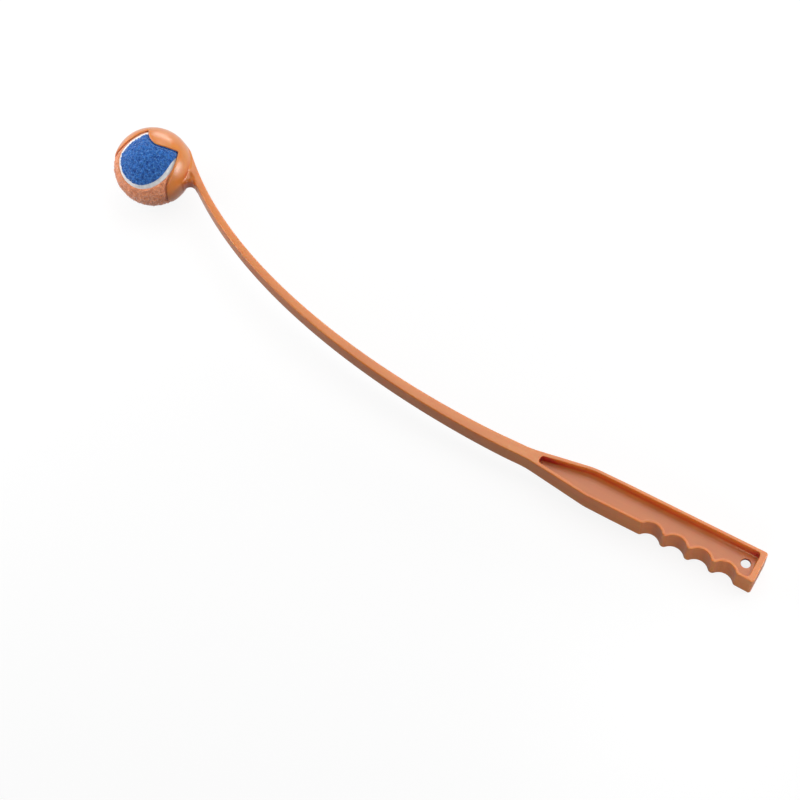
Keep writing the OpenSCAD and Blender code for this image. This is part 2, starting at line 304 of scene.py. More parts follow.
def grip_pt(along, depth):
    """Point of the slanted finger side, along it from the first crest and inwards by depth."""
    c, s = math.cos(math.radians(GRIP_FLARE)), math.sin(math.radians(GRIP_FLARE))
    return np.array([-GROOVE_START + along * c + depth * s, -GRIP_FRONT - along * s + depth * c])


def finger_wave(inset):
    """Crests and grooves of the finger side, from the first crest to the last, inset below it."""
    spread = math.atan2(GROOVE_PITCH / 2, GROOVE_OUT + CREST_R)
    points = []
    for i in range(GROOVES + 1):
        for t in np.linspace(-spread if i else 0, spread if i < GROOVES else 0, 9):
            r = CREST_R - inset
            points.append(grip_pt(i * GROOVE_PITCH + r * math.sin(t), CREST_R - r * math.cos(t)))
        if i < GROOVES:
            for t in np.linspace(-spread, spread, 22)[1:-1]:
                r = GROOVE_R + inset
                along = (i + 0.5) * GROOVE_PITCH + r * math.sin(t)
                points.append(grip_pt(along, r * math.cos(t) - GROOVE_OUT))
    return np.array(points)


def handle_path():
    """Outline of the handle from the front of its neck round the butt to the back of its neck."""
    half = ARM_W[0] / 2 * np.array([-ROOT_WAY[1], ROOT_WAY[0]])
    front, back = NECK - half, NECK + half
    wave = finger_wave(0)
    parts = [
        [ARM_START - half],
        corner(ARM_START - half, front, (-SHOULDER_FRONT, -GRIP_FRONT), NECK_R),
        corner(front, (-SHOULDER_FRONT, -GRIP_FRONT), wave[0], SHOULDER_R),
        wave,
        corner(wave[-1], (BUTT_GAP, BUTT_FRONT), (BUTT_GAP, 0), BUTT_R),
        corner((BUTT_GAP, 0), (BUTT_GAP, HANDLE_BACK), (0, HANDLE_BACK), BUTT_R),
        corner((0, HANDLE_BACK), (-SHOULDER_BACK, HANDLE_BACK), back, SHOULDER_R),
        corner((-SHOULDER_BACK, HANDLE_BACK), back, ARM_START + half, NECK_R),
        [ARM_START + half],
    ]
    path = densify(drop_repeats(np.vstack(parts)), PATH_STEP, False)
    normals = left_normals(path, False)
    normals[0], normals[-1] = unit(half), -unit(half)
    return path, normals


def recess_path():
    """Edge of the recess, anticlockwise."""
    tip = (-RECESS_TIP, NECK[1] + RECESS_TIP_W / 2), (-RECESS_TIP, NECK[1] - RECESS_TIP_W / 2)
    wave = finger_wave(RIM_FRONT)
    end = BUTT_GAP - RIM_BUTT
    top = HANDLE_BACK - RIM_BACK
    # The last stretch of the wave is cut off where the butt's rim begins
    wave = wave[wave[:, 0] < end - RECESS_R - 0.2]
    parts = [
        corner(tip[0], tip[1], (-SHOULDER_FRONT, -GRIP_FRONT + RIM_FRONT), RECESS_R),
        corner(tip[1], (-SHOULDER_FRONT, -GRIP_FRONT + RIM_FRONT), wave[0], SHOULDER_R),
        wave,
        corner(wave[-1], (end, BUTT_FRONT + RIM_FRONT), (end, 0), RECESS_R),
        corner((end, 0), (end, top), (0, top), RECESS_R),
        corner((0, top), (-SHOULDER_BACK, top), tip[0], SHOULDER_R),
        corner((-SHOULDER_BACK, top), tip[0], tip[1], RECESS_R),
    ]
    return densify(drop_repeats(np.vstack(parts)), PATH_STEP, True)


def handle_half_t(x):
    """Half of the handle's thickness at x, which tapers towards the neck."""
    share = np.clip((-TAPER_X - x) / (-TAPER_X - NECK[0]), 0, 1)
    return (HANDLE_T + (ARM_T[0] - HANDLE_T) * share) / 2


def raised(path, normals, inset, height):
    """Path moved left by inset, at height(x) in Z."""
    moved = path + normals * np.reshape(inset, (-1, 1))
    return np.column_stack([moved, height(moved[:, 0])])


def outer_wall(shell):
    """Wall round the handle, with rounded edges and a fine parting line round its middle.

    Returns the edges of its lower and its upper face.
    """
    path, normals = handle_path()
    edge = [(0, EDGE_R + 0.8)] + [(b, a) for a, b in quarter(EDGE_R)] + [(EDGE_R + EDGE_FLAT, 0)]
    halves = []
    for side in (-1, 1):
        halves.append([raised(path, normals, inset, lambda x: side * (handle_half_t(x) - drop))
                       for inset, drop in edge])
    parting = ((0, -0.5), (0, -PARTING_W), (-PARTING_H, 0), (0, PARTING_W), (0, 0.5))
    middle = [raised(path, normals, inset, lambda x: z + 0 * x) for inset, z in parting]
    ids = shell.strip(halves[0][::-1] + middle + halves[1], False)
    # Face that meets the arm
    shell.faces.append(tuple([r[0] for r in ids] + [r[-1] for r in ids[::-1]]))
    return {-1: ids[0], 1: ids[-1]}


def recess_wall(shell, side):
    """Wall of the recess on one face of the handle. Returns its edges at the face and at the floor."""
    path = recess_path()
    normals = left_normals(path, True)
    # Wide fillet along the back of the recess, a tight one along the grooves and at its ends
    by_end = np.maximum(ease(-path[:, 0], 135, 178), ease(path[:, 0], -22, 4))
    fillet = FLOOR_R + FLOOR_R_BACK * ease(path[:, 1], -4, 8) * (1 - FLOOR_R_LOSS * by_end)
    floor = WEB_T / 2
    rows = []
    for inset, drop in [(-RIM_EDGE_R - RIM_FLAT, 0)] + [(-a, b) for a, b in quarter(RIM_EDGE_R)]:
        rows.append(raised(path, normals, inset, lambda x: side * (handle_half_t(x) - drop)))
    rows.append(raised(path, normals, 0.02, lambda x: side * (handle_half_t(x) - RIM_EDGE_R - 0.6)))
    for lift in (0.6, 0):
        rows.append(raised(path, normals, RECESS_DRAFT, lambda x: side * (floor + fillet + lift)))
    for a, b in quarter(1)[1:]:
        rows.append(raised(path, normals, RECESS_DRAFT + fillet * b, lambda x: side * (floor + fillet * a)))
    rows.append(raised(path, normals, RECESS_DRAFT + fillet + FLOOR_FLAT, lambda x: side * floor + 0 * x))
    ids = shell.strip(rows, True)
    return ids[0], ids[-1]


def hole_edge(shell, side):
    """Rounded edge of the hang hole on one face of the web. Returns its outer and its inner ring."""
    turn = np.linspace(0, 2 * np.pi, HOLE_SIDES, False)
    ring = np.stack([np.cos(turn), np.sin(turn)], 1)
    rows = []
    for wider, drop in [(HOLE_EDGE_R + HOLE_FLAT, 0)] + quarter(HOLE_EDGE_R, 5):
        height = np.full(HOLE_SIDES, side * (WEB_T / 2 - drop))
        rows.append(np.column_stack([ring * (HOLE_R + wider), height]))
    ids = shell.strip(rows, True)
    return ids[0], ids[-1]


def build_handle(material):
    """Grip with a recess on both faces and a hang hole through the web between them."""
    shell = Shell()
    outer = outer_wall(shell)
    bores = {}
    for side in (-1, 1):
        rim, floor = recess_wall(shell, side)
        shell.fill([outer[side], rim])
        hole, bores[side] = hole_edge(shell, side)
        shell.fill([floor, hole])
    low, high = bores[-1], bores[1]
    for k in range(HOLE_SIDES):
        j = (k + 1) % HOLE_SIDES
        shell.faces.append((low[k], low[j], high[j], high[k]))
    obj = add_piece("handle_moulding", shell.verts, shell.faces, "launcher", "handle",
                    material)
    tidy_mesh(obj)


# Throwing arm

def arm_curve():
    """The four control points of the arm's curve."""
    climb, meet = math.radians(TIP_CLIMB), math.radians(ARM_MEET)
    end = CUP + (CUP_OUT + ARM_PROUD - ARM_W[1] / 2) * np.array([math.cos(meet), math.sin(meet)])
    lead_out = ARM_START - ROOT_LEAD * ROOT_WAY
    lead_in = end + TIP_LEAD * np.array([math.cos(climb), -math.sin(climb)])
    return ARM_START, lead_out, lead_in, end


def arm_at(u):
    """Middle, direction, width, thickness and edge radius of the arm at station u."""
    a, b, c, d = arm_curve()
    mid = (1 - u) ** 3 * a + 3 * (1 - u) ** 2 * u * b + 3 * (1 - u) * u * u * c + u ** 3 * d
    way = unit((1 - u) ** 2 * (b - a) + 2 * (1 - u) * u * (c - b) + u * u * (d - c))
    width = ARM_W[0] + (ARM_W[1] - ARM_W[0]) * u
    spread = ARM_SPREAD * (max(0, u - ARM_SPLIT) / (1 - ARM_SPLIT)) ** 2
    thick = ARM_T[0] + (ARM_T[1] - ARM_T[0]) * u + spread
    return mid, way, width, thick, ARM_EDGE[0] + (ARM_EDGE[1] - ARM_EDGE[0]) * u


def arm_section(u):
    """Ring of points round the arm at station u."""
    mid, way, width, thick, r = arm_at(u)
    side = np.array([-way[1], way[0]])
    ring = []
    for k in range(4):
        for t in np.radians(np.linspace(90 * k, 90 * k + 90, 8)):
            s = (width / 2 - r) * (1 if k in (0, 3) else -1) + r * math.cos(t)
            z = (thick / 2 - r) * (1 if k < 2 else -1) + r * math.sin(t)
            ring.append(np.append(mid + side * s, z))
    return np.array(ring)


def build_arm(material):
    """Curved bar from the neck to the cup's root."""
    shell = Shell()
    ids = shell.strip([arm_section(u) for u in np.linspace(0, ARM_SPLIT + ARM_LAP, 121)], True)
    shell.faces.append(tuple(ids[0]))
    shell.faces.append(tuple(ids[-1]))
    obj = add_piece("arm_moulding", shell.verts, shell.faces, "launcher", "throwing_arm",
                    material)
    tidy_mesh(obj)


# Cup, drawn as a distance field round its centre and then meshed

def smooth_min(a, b, k):
    """The lower of two distances, with a blend of width k between them."""
    h = np.maximum(k - np.abs(a - b), 0) / k
    return np.minimum(a, b) - h * h * k / 4


def smooth_max(a, b, k):
    """The higher of two distances, with a blend of width k between them."""
    return -smooth_min(-a, -b, k)


def root_stations():
    """Stations along the arm's end and on round the cup until it has sunk into the wall."""
    rows = []
    for u in np.linspace(ROOT_START, 1, 90):
        mid, way, width, thick, r = arm_at(u)
        swell = ROOT_SWELL * np.clip(2 * (u - ARM_SPLIT) / ARM_LAP - 1, -1, 1)
        rows.append((*(mid - CUP), *way, width / 2 + swell, thick / 2 + swell, r))
    start = np.linalg.norm(arm_curve()[3] - CUP)
    section = ARM_W[1] / 2 + ROOT_SWELL, arm_at(1)[3] / 2 + ROOT_SWELL, ARM_EDGE[1]
    for f in np.linspace(0, 1, 30)[1:]:
        a = math.radians(ARM_MEET + ROOT_TURN * f)
        r = start - (ARM_PROUD + ROOT_SINK) * f
        rows.append((r * math.cos(a), r * math.sin(a), -math.sin(a), math.cos(a), *section))
    return np.array(rows)


def mouth_edge(az):
    """Polar angle of the mouth's edge, in degrees off its axis, at az degrees from the tongue."""
    az = np.abs((az + 180) % 360 - 180)
    # Each stretch runs from a lobe's end to a notch, and a higher power turns it later
    stretches = (
        (TONGUE_END, FRONT_NOTCH, 3.9),
        (SIDE_END, FRONT_NOTCH, 2),
        (SIDE_END, REAR_NOTCH, 1.1),
        (CLAW_END, REAR_NOTCH, 3.4),
    )
    out = np.zeros_like(az)
    for (end, az_end), (notch, az_notch), power in stretches:
        on = (az >= min(az_end, az_notch)) & (az <= max(az_end, az_notch))
        s = np.clip((az[on] - az_end) / (az_notch - az_end), 0, 1)
        out[on] = end + (notch - end) * s ** power
    return out


def mouth_angles(p):
    """Degrees off the mouth's axis and round it from the tongue, of points round the cup's centre."""
    c, s = math.cos(math.radians(MOUTH_DIR)), math.sin(math.radians(MOUTH_DIR))
    axis, tongue = np.array([c, s, 0]), np.array([s, -c, 0])
    r = np.maximum(np.linalg.norm(p, axis=1), 1e-6)
    polar = np.degrees(np.arccos(np.clip((p @ axis) / r, -1, 1)))
    return polar, np.degrees(np.arctan2(-p[:, 2], p @ tongue))


def edge_table():
    """The mouth's edge and its slope at every EDGE_STEP degrees, with its notches eased."""
    edge = mouth_edge(np.arange(0, 360, EDGE_STEP))
    reach = 8
    weights = np.exp(-0.5 * (np.arange(-reach, reach + 1) * EDGE_STEP / NOTCH_EASE) ** 2)
    wrapped = np.concatenate([edge[-reach:], edge, edge[:reach]])
    edge = np.convolve(wrapped, weights / weights.sum(), "valid")
    slope = np.gradient(np.concatenate([edge[-1:], edge, edge[:1]]), EDGE_STEP)[1:-1]
    return edge, slope


def root_field(p, stations):
    """Distance to the arm's end at points p, and where they lie beside it.

    The second value is how far they lie to the arm's inner side, and the third how far
    the nearest point of its middle line is from the cup's centre.
    """
    flat = p[:, :2]
    near = np.full(len(p), 1e9)
    best = np.zeros(len(p), int)
    for k, row in enumerate(stations):
        d = ((flat - row[:2]) ** 2).sum(1)
        closer = d < near
        near[closer] = d[closer]
        best[closer] = k
    # Nearest point between two stations
    row = stations[best]
    ahead = ((flat - row[:, :2]) * row[:, 2:4]).sum(1) > 0
    after = np.clip(best + ahead, 1, len(stations) - 1)
    row = stations[after - 1]
    span = stations[after] - row
    share = ((flat - row[:, :2]) * span[:, :2]).sum(1) / (span[:, :2] ** 2).sum(1)
    row = row + span * np.clip(share, 0, 1)[:, None]
    offset = flat - row[:, :2]
    side = -offset[:, 0] * row[:, 3] + offset[:, 1] * row[:, 2]
    # Rounded box across the arm, cut off past its last station
    half_w, half_t, r = row[:, 4], row[:, 5], row[:, 6]
    q0, q1 = np.abs(side) - (half_w - r), np.abs(p[:, 2]) - (half_t - r)
    outside = np.sqrt(np.maximum(q0, 0) ** 2 + np.maximum(q1, 0) ** 2)
    arm = outside + np.minimum(np.maximum(q0, q1), 0) - r
    past_end = (flat - stations[-1, :2]) @ stations[-1, 2:4]
    return np.maximum(arm, past_end), side, np.linalg.norm(row[:, :2], axis=1)


def arch_field(p, side):
    """Distance to the web that fills the arch between the arm and the claw."""
    mid, to_arm, to_cup, half = ARCH
    rel = p[:, :2] - mid
    dist = np.linalg.norm(rel, axis=1)
    cross_arm = rel[:, 0] * to_arm[1] - rel[:, 1] * to_arm[0]
    cross_cup = rel[:, 0] * to_cup[1] - rel[:, 1] * to_cup[0]
    wedge = np.maximum(ARCH_SIGN * cross_arm, -ARCH_SIGN * cross_cup)
    web = np.maximum(np.maximum(wedge, dist - ARCH_R - ARCH_REACH), -side)
    return smooth_max(np.maximum(ARCH_R - dist, web), np.abs(p[:, 2]) - half, ARCH_EDGE)


def mouth_field(p, r, table):
    """Distance into the mouth from its edge, at points p that lie r from the cup's centre."""
    polar, az = mouth_angles(p)
    edges, slopes = table
    at = az % 360 / EDGE_STEP
    low = np.floor(at).astype(int) % len(edges)
    high = (low + 1) % len(edges)
    f = at - np.floor(at)
    edge = edges[low] * (1 - f) + edges[high] * f
    slope = slopes[low] * (1 - f) + slopes[high] * f
    lean = np.sqrt(1 + (slope / np.maximum(np.sin(np.radians(polar)), 0.2)) ** 2)
    return r * np.radians(edge - polar) / lean


def cup_field(p, table, stations):
    """Signed distance to the cup's surface at points p round its centre."""
    r = np.linalg.norm(p, axis=1)
    arm, side, away = root_field(p, stations)
    # The blend is wide on the arm's inner side, narrow on its flanks,
    # and tight along its back and at its end
    flank = ease(np.abs(p[:, 2]), 3, 7)
    wide = np.maximum(ease(side, -2, 1.5), flank * ease(side, -3.2, -1)) * (1 - FLANK_LOSS * flank)
    leaving = ease(away - CUP_OUT, -2.5, 3)
    solid = smooth_min(r - CUP_OUT, arm, BLEND_TIGHT + BLEND_WIDE * wide * leaving)
    solid = smooth_min(solid, arch_field(p, side), ARCH_BLEND)
    # Start of the cup's own root
    mid, way = arm_at(ARM_SPLIT)[:2]
    solid = np.maximum(solid, -((p[:, :2] - (mid - CUP)) @ way))
    solid = smooth_max(solid, CUP_IN - r, INNER_EDGE)
    # The lip is rounded outside and nearly square against the ball
    lip = LIP_SQUARE + (2 * LIP_R - LIP_SQUARE) * ease(r, CUP_IN + 0.3, CUP_OUT - 0.3)
    return smooth_max(solid, mouth_field(p, r, table), lip)


def surface_net(field, low, high, step):
    """Mesh of the zero surface of field: one point in each cell that the surface crosses."""
    n = [int(math.ceil((h - l) / step)) + 1 for l, h in zip(low, high)]
    axes = [l + step * np.arange(k) for l, k in zip(low, n)]
    values = np.empty(n)
    for i, x in enumerate(axes[0]):
        y, z = np.meshgrid(axes[1], axes[2], indexing="ij")
        values[i] = field(np.column_stack([np.full(y.size, x), y.ravel(), z.ravel()])).reshape(y.shape)
    inner = values < 0
    total = np.zeros([k - 1 for k in n] + [3])
    count = np.zeros([k - 1 for k in n])
    cell = [slice(None, -1), slice(1, None)]
    corners = [(a, b, c) for a in (0, 1) for b in (0, 1) for c in (0, 1)]
    for axis in range(3):
        for c in corners:
            if c[axis]:
                continue
            d = list(c)
            d[axis] = 1
            v0 = values[cell[c[0]], cell[c[1]], cell[c[2]]]
            v1 = values[cell[d[0]], cell[d[1]], cell[d[2]]]
            cut = (v0 < 0) != (v1 < 0)
            t = np.where(cut, v0 / np.where(cut, v0 - v1, 1), 0)
            for k in range(3):
                total[..., k] += np.where(cut, c[k] + (t if k == axis else 0), 0)
            count += cut
    used = count > 0
    index = np.full(used.shape, -1)
    index[used] = np.arange(used.sum())
    where = np.argwhere(used)
    verts = np.array(low) + step * (where + total[used] / count[used][:, None])
    faces = []
    for axis in range(3):
        a, b = [k for k in range(3) if k != axis]
        if axis == 1:
            a, b = b, a
        first = [slice(None)] * 3
        first[axis] = slice(None, -1)
        second = [slice(None)] * 3
        second[axis] = slice(1, None)
        cut = inner[tuple(first)] != inner[tuple(second)]
        spots = np.argwhere(cut)
        at_a, at_b = spots[:, a], spots[:, b]
        spots = spots[(at_a > 0) & (at_b > 0) & (at_a < n[a] - 1) & (at_b < n[b] - 1)]
        quad = []
        for da, db in ((1, 1), (0, 1), (0, 0), (1, 0)):
            s = spots.copy()
            s[:, a] -= da
            s[:, b] -= db
            quad.append(index[s[:, 0], s[:, 1], s[:, 2]])
        quad = np.column_stack(quad)
        flip = ~inner[spots[:, 0], spots[:, 1], spots[:, 2]]
        quad[flip] = quad[flip][:, ::-1]
        faces.append(quad)
    return verts, np.vstack(faces)


def gradient(field, p, h=0.02):
    """Slope of field at points p, by differences over h to each side."""
    out = np.empty_like(p)
    for k in range(3):
        d = np.zeros(3)
        d[k] = h
        out[:, k] = (field(p + d) - field(p - d)) / (2 * h)
    return out


def arch_frame():
    """Centre of the arch, its directions to the arm and to the cup, and half its thickness."""
    mid, way, width, thick, r = arm_at((1 + 2 * ARM_SPLIT) / 3)
    side = np.array([-way[1], way[0]])
    start = mid + side * (width / 2 + ARCH_R) - CUP
    along = -start @ way - math.sqrt((start @ way) ** 2 - start @ start + (CUP_OUT + ARCH_R) ** 2)
    centre = start + along * way
    return centre, -side, unit(-centre), thick / 2 - ARCH_STEP


ARCH = arch_frame()
ARCH_SIGN = math.copysign(1, ARCH[1][0] * ARCH[2][1] - ARCH[1][1] * ARCH[2][0])


def build_cup(material):
    """Thin cup of four lobes with the arm's root on it, meshed and then drawn onto its surface."""
    table = edge_table()
    stations = root_stations()

    def field(p):
        return cup_field(p, table, stations)

    start = arm_at(ARM_SPLIT)[0] - CUP
    low = np.array([-CUP_BOX, min(-CUP_BOX, start[1] - 6), -CUP_BOX])
    high = np.array([max(CUP_BOX, start[0] + 8), CUP_BOX, CUP_BOX])
    # The diagonal of a cell stays below the cup's wall
    step = 0.62
    verts, faces = surface_net(field, low, high, step)
    for _ in range(3):
        g = gradient(field, verts)
        size = np.maximum((g * g).sum(1), 0.2)
        verts = verts - np.clip(field(verts) / size, -0.3, 0.3)[:, None] * g
    normals = gradient(field, verts)
    normals /= np.maximum(np.linalg.norm(normals, axis=1, keepdims=True), 1e-9)
    verts = verts + np.append(CUP, 0)
    add_piece("cup_moulding", verts, faces, "launcher", "ball_cup", material, normals)


# Ball

TURN = turn_matrix(BALL_TURN)
FLIP = np.array([[0, 1, 0], [1, 0, 0], [0, 0, -1]])


def across_line(p):
    """Unit vectors across a closed line on the unit ball, to its left."""
    way = np.roll(p, -1, axis=0) - np.roll(p, 1, axis=0)
    return np.cross(p, way / np.linalg.norm(way, axis=1, keepdims=True))


def beside_seam(line, across, gap):
    """Unit vectors gap mm to the panel's side of the seam's middle line."""
    angle = np.reshape(gap, (-1, 1)) / BALL_R
    return np.cos(angle) * line + np.sin(angle) * across


def seam_line(count, flip=False):
    """The seam's middle line on the unit ball, and the direction across it into a panel.

    Both are given in the frame of the panel, which lies round its own +Z.
    """
    a, b = 1 - SEAM_SWING, SEAM_SWING
    t = np.linspace(-np.pi, np.pi, count, False)
    s = t - np.pi / 4
    x, y = a * np.cos(s) + b * np.cos(3 * s), a * np.sin(s) - b * np.sin(3 * s)
    z = 2 * math.sqrt(a * b) * np.sin(2 * s)
    p = np.stack([(x - y) / math.sqrt(2), (x + y) / math.sqrt(2), z], 1)
    stray = sum(off * np.exp(-((np.degrees(t) - at) / reach) ** 2) for at, off, reach in SEAM_STRAY)
    p = beside_seam(p, across_line(p), stray)
    across = across_line(p)
    return (p @ FLIP.T, -across @ FLIP.T) if flip else (p, across)


def flattened(p):
    """Stereographic view of the unit ball from its lowest point."""
    return p[:, :2] / (1 + p[:, 2:3])


def in_part_frame(p, flip):
    """Points of the ball's own frame, moved into the cup. The second panel is the first turned over."""
    if flip:
        p = p @ FLIP.T
    return p @ TURN.T + np.append(CUP, 0)


def uncovered(p):
    """Degrees by which points round the cup's centre lie clear of its lip, in its mouth."""
    polar, az = mouth_angles(p)
    return mouth_edge(az) - polar


def spread_points(count):
    """Points spread evenly over the unit ball."""
    k = np.arange(count) + 0.5
    z = 1 - 2 * k / count
    ring = np.sqrt(1 - z * z)
    angle = math.pi * (1 + math.sqrt(5)) * k
    return np.stack([ring * np.cos(angle), ring * np.sin(angle), z], 1)


def build_felt(colour, flip, seed, material):
    """One felt panel with a soft rolled edge and an uneven nap."""
    line, across = seam_line(420, flip)
    gaps = SEAM_W / 2 + np.array([0, 0.08, 0.2, 0.4, 0.65, 0.95, 1.3])
    rolled = np.sqrt(1 - (1 - np.clip((gaps - gaps[0]) / FELT_ROLL, 0, 1)) ** 2)
    radii = SEAM_R - FELT_DIP + (BALL_R - SEAM_R + FELT_DIP) * rolled
    edge = np.vstack([beside_seam(line, across, g) for g in gaps])
    edge_r = np.repeat(radii, len(line))
    # Evenly spread points over the rest of the panel
    spread = spread_points(42000)
    spread = spread[spread[:, 2] > PANEL_LOW]
    spread = spread[inside(flattened(beside_seam(line, across, gaps[-1] + 0.35)), flattened(spread))]
    unit_p = np.vstack([edge, spread])
    radius = np.concatenate([edge_r, np.full(len(spread), BALL_R)])
    flat = [Vector(q) for q in flattened(unit_p)]
    n = len(line)
    bounds = [(i, (i + 1) % n) for i in range(n)]
    _, _, tris, origin, _, _ = delaunay_2d_cdt(flat, bounds, [], 1, 1e-9)
    faces = [tuple(origin[i][0] for i in tri) for tri in tris]
    # Soft lumps everywhere, a little proud where nothing presses, and a groove along the cup's lip
    clear = uncovered(in_part_frame(unit_p, flip) - np.append(CUP, 0))
    free = np.clip((clear - 1.5) / 3.5, 0, 1)
    groove = PRESSED_DEPTH * np.exp(-((clear - PRESSED_MID) / PRESSED_REACH) ** 2)
    grip = np.clip((radius - SEAM_R) / (BALL_R - SEAM_R), 0, 1)
    lumps = np.array([noise.fractal(Vector(q * 12 + seed), 0.8, 2.1, 3) for q in unit_p])
    fine = np.array([noise.noise(Vector(q * 46 + seed)) for q in unit_p])
    bumps = (FELT_LUMPS + FELT_LUMPS_FREE * free) * np.clip(0.6 * lumps + 0.5 * fine, -1, 1)
    lift = grip * (bumps + FELT_PROUD * free - groove)
    points = in_part_frame(unit_p * (radius + lift)[:, None], flip)
    add_piece("felt_" + colour, points, faces, "ball", "felt_panel_" + colour, material)


def build_nap(colour, flip, seed, material):
    """Short loose fibres that stand out of one felt panel."""
    rng = np.random.default_rng(seed)
    line, across = seam_line(240, flip)
    ring = flattened(beside_seam(line, across, SEAM_W / 2 + 0.8))
    roots = rng.normal(size=(30000, 3))
    roots /= np.linalg.norm(roots, axis=1, keepdims=True)
    roots = roots[roots[:, 2] > PANEL_LOW]
    roots = roots[inside(ring, flattened(roots))]
    placed = in_part_frame(roots, flip) - np.append(CUP, 0)
    # None stand in the groove along the cup's lip
    placed = placed[np.abs(uncovered(placed) - 1.5) > 2]
    free = uncovered(placed) > 2
    verts, faces = [], []
    for p, out in zip(placed, free):
        aside = unit(np.cross(p, rng.normal(size=3)))
        length = rng.uniform(0.7, 1.9)
        top = rng.uniform(0.4, 1.3) if out else rng.uniform(0.02, 0.18)
        width = FIBRE_W * unit(np.cross(p, aside))
        a = len(verts)
        # A ribbon that leans over and narrows to a point
        for f, w in ((0, 1), (0.4, 0.9), (0.75, 0.6)):
            rise = (top + FIBRE_ROOT) * f * (1.6 - 0.6 * f)
            at = unit(p * BALL_R + aside * length * f) * (BALL_R - FIBRE_ROOT + rise)
            verts += [at - width * w, at + width * w]
        verts.append(unit(p * BALL_R + aside * length) * (BALL_R + top))
        faces += [(a, a + 1, a + 3, a + 2), (a + 2, a + 3, a + 5, a + 4), (a + 4, a + 5, a + 6)]
    points = np.array(verts) + np.append(CUP, 0)
    add_piece("nap_" + colour, points, faces, "ball", None, material)


def build_seam(material):
    """Crowned band of cement between the felt panels, closed underneath."""
    line, across = seam_line(480)
    half = SEAM_W / 2 + SEAM_TUCK
    rows = []
    for share in np.linspace(-1, 1, 11):
        rise = SEAM_R - SEAM_CROWN / 2 + SEAM_CROWN * (1 - share * share)
        rows.append(beside_seam(line, across, share * half) * rise)
    for share in (0.98, 0, -0.98):
        rows.append(beside_seam(line, across, share * half) * (SEAM_R - SEAM_DEPTH))
    rows.append(rows[0])
    rough = [[noise.noise(Vector(q * 0.9)) * 0.05 for q in row] for row in rows]
    rows = [row * (1 + np.array(r)[:, None] / BALL_R) for row, r in zip(rows, rough)]
    shell = Shell()
    shell.strip([in_part_frame(r, False) for r in rows], True)
    obj = add_piece("seam_band", shell.verts, shell.faces, "ball", "ball_seam", material)
    tidy_mesh(obj)


# Materials

def srgb(r, g, b):
    """Linear colour from 0 to 255 screen values."""
    c = np.array([r, g, b]) / 255
    lin = np.where(c <= 0.04045, c / 12.92, ((c + 0.055) / 1.055) ** 2.4)
    return (*lin, 1)


ORANGE, ORANGE_PALE = srgb(212, 120, 38), srgb(219, 129, 45)
ORANGE_STREAK, ORANGE_SPECK = srgb(198, 102, 50), srgb(224, 126, 68)
# The first colour on the next line is partly edge wear, partly a painted highlight on convex edges
# The second colour on the next line is painted shade: the deeper red laid on occluded recess walls
ORANGE_EDGE_WEAR_AND_HIGHLIGHT, ORANGE_PAINTED_SHADE = srgb(240, 156, 92), srgb(186, 40, 46)
# Dark, middle and pale wool of each felt
BLUE_FELT = srgb(18, 62, 140), srgb(48, 112, 196), srgb(112, 178, 230)
ORANGE_FELT = srgb(228, 136, 92), srgb(242, 156, 110), srgb(252, 212, 180)
CEMENT = srgb(240, 241, 240), srgb(218, 220, 222)
RUBBER = srgb(58, 58, 60), srgb(74, 73, 74)
# The table as the object is lit by it, and as the camera sees it
TABLE_LIT, TABLE_SEEN = srgb(118, 122, 138), srgb(106, 106, 106)


class Look:
    """A node material that is being put together round one Principled shader."""

    def __init__(self, name):
        self.mat = bpy.data.materials.new(name)
        self.mat.use_nodes = True
        self.tree = self.mat.node_tree
        self.shader = self.tree.nodes["Principled BSDF"]
        self.coords = self.node("ShaderNodeTexCoord").outputs["Object"]

    def node(self, kind, **values):
        """A new node with some of its settings."""
        made = self.tree.nodes.new(kind)
        for key, value in values.items():
            setattr(made, key, value)
        return made

    def link(self, a, b):
        self.tree.links.new(a, b)

    def noise(self, per_mm, detail=3.0, stretch=(1, 1, 1), rough=0.55):
        """Noise with about per_mm lumps to the mm, stretched along the axes."""
        scale = self.node("ShaderNodeMapping")
        scale.inputs["Scale"].default_value = [1 / MM * per_mm / k for k in stretch]
        self.link(self.coords, scale.inputs["Vector"])
        tex = self.node("ShaderNodeTexNoise")
        tex.inputs["Scale"].default_value = 1
        tex.inputs["Detail"].default_value = detail
        tex.inputs["Roughness"].default_value = rough
        self.link(scale.outputs["Vector"], tex.inputs["Vector"])
        return tex.outputs["Fac"]

    def ramp(self, value, low, high, a, b):
        """Maps value from low..high to a..b."""
        m = self.node("ShaderNodeMapRange")
        for key, v in zip(("From Min", "From Max", "To Min", "To Max"), (low, high, a, b)):
            m.inputs[key].default_value = v
        self.link(value, m.inputs["Value"])
        return m.outputs["Result"]

    def mix(self, share, a, b):
        """Mixes two colours, each a socket or a plain colour."""
        m = self.node("ShaderNodeMix", data_type="RGBA")
        for key, v in ((6, a), (7, b)):
            if isinstance(v, tuple):
                m.inputs[key].default_value = v
            else:
                self.link(v, m.inputs[key])
        self.link(share, m.inputs[0])
        return m.outputs[2]

    def math(self, kind, a, b):
        """One sum of two values, each a socket or a plain number."""
        m = self.node("ShaderNodeMath", operation=kind)
        for key, v in ((0, a), (1, b)):
            if isinstance(v, (int, float)):
                m.inputs[key].default_value = v
            else:
                self.link(v, m.inputs[key])
        return m.outputs["Value"]

    def bump(self, height, depth_mm, strength=1.0, after=None):
        """Normals of a surface that height raises by up to depth_mm, on top of other normals."""
        b = self.node("ShaderNodeBump")
        b.inputs["Strength"].default_value = strength
        b.inputs["Distance"].default_value = depth_mm * MM
        self.link(height, b.inputs["Height"])
        if after is not None:
            self.link(after, b.inputs["Normal"])
        return b.outputs["Normal"]

    def set(self, **values):
        """Sets or links inputs of the shader, named with _ for each space."""
        for key, v in values.items():
            socket = self.shader.inputs[key.replace("_", " ")]
            if isinstance(v, (int, float, tuple)):
                socket.default_value = v
            else:
                self.link(v, socket)


